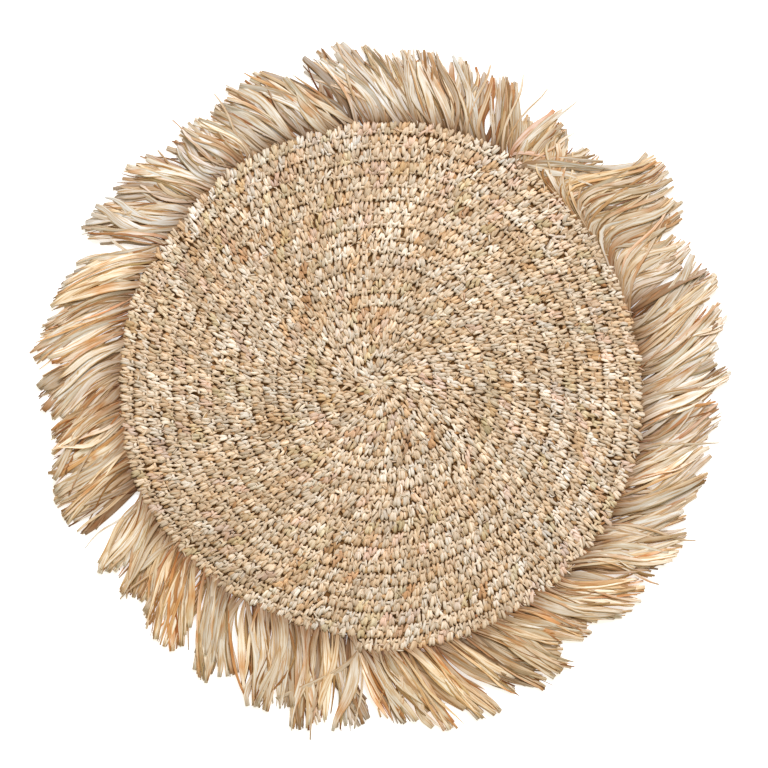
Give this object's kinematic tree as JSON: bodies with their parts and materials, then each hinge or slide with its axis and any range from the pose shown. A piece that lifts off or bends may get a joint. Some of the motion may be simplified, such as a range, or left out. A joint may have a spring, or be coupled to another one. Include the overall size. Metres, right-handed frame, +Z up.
{
  "type": "round fringed placemat",
  "caption": "Round table mat crocheted in one flat spiral of raffia, with a raffia fringe knotted all round its edge.",
  "frame": {"origin": "centre of the spiral on the mat's flat underside, at the table's surface", "axes": "+Z up through the mat; +X to the right and +Y away from the diner, with the spiral's end and its step at the near side (265 degrees)"},
  "size_m": [0.3776, 0.3756, 0.0044],
  "materials": {
    "raffia_crochet": "crocheted raffia, matt to silky",
    "raffia_fringe": "loose raffia ribbons, silky"
  },
  "bodies": {
    "root": {"crochet_mat": "raffia_crochet", "fringe_run_01": "raffia_fringe", "fringe_run_02": "raffia_fringe", "fringe_run_03": "raffia_fringe", "fringe_run_04": "raffia_fringe", "fringe_run_05": "raffia_fringe", "fringe_run_06": "raffia_fringe", "fringe_run_07": "raffia_fringe", "fringe_run_08": "raffia_fringe", "fringe_run_09": "raffia_fringe", "fringe_run_10": "raffia_fringe", "fringe_run_11": "raffia_fringe", "fringe_run_12": "raffia_fringe"}
  },
  "joints": []
}
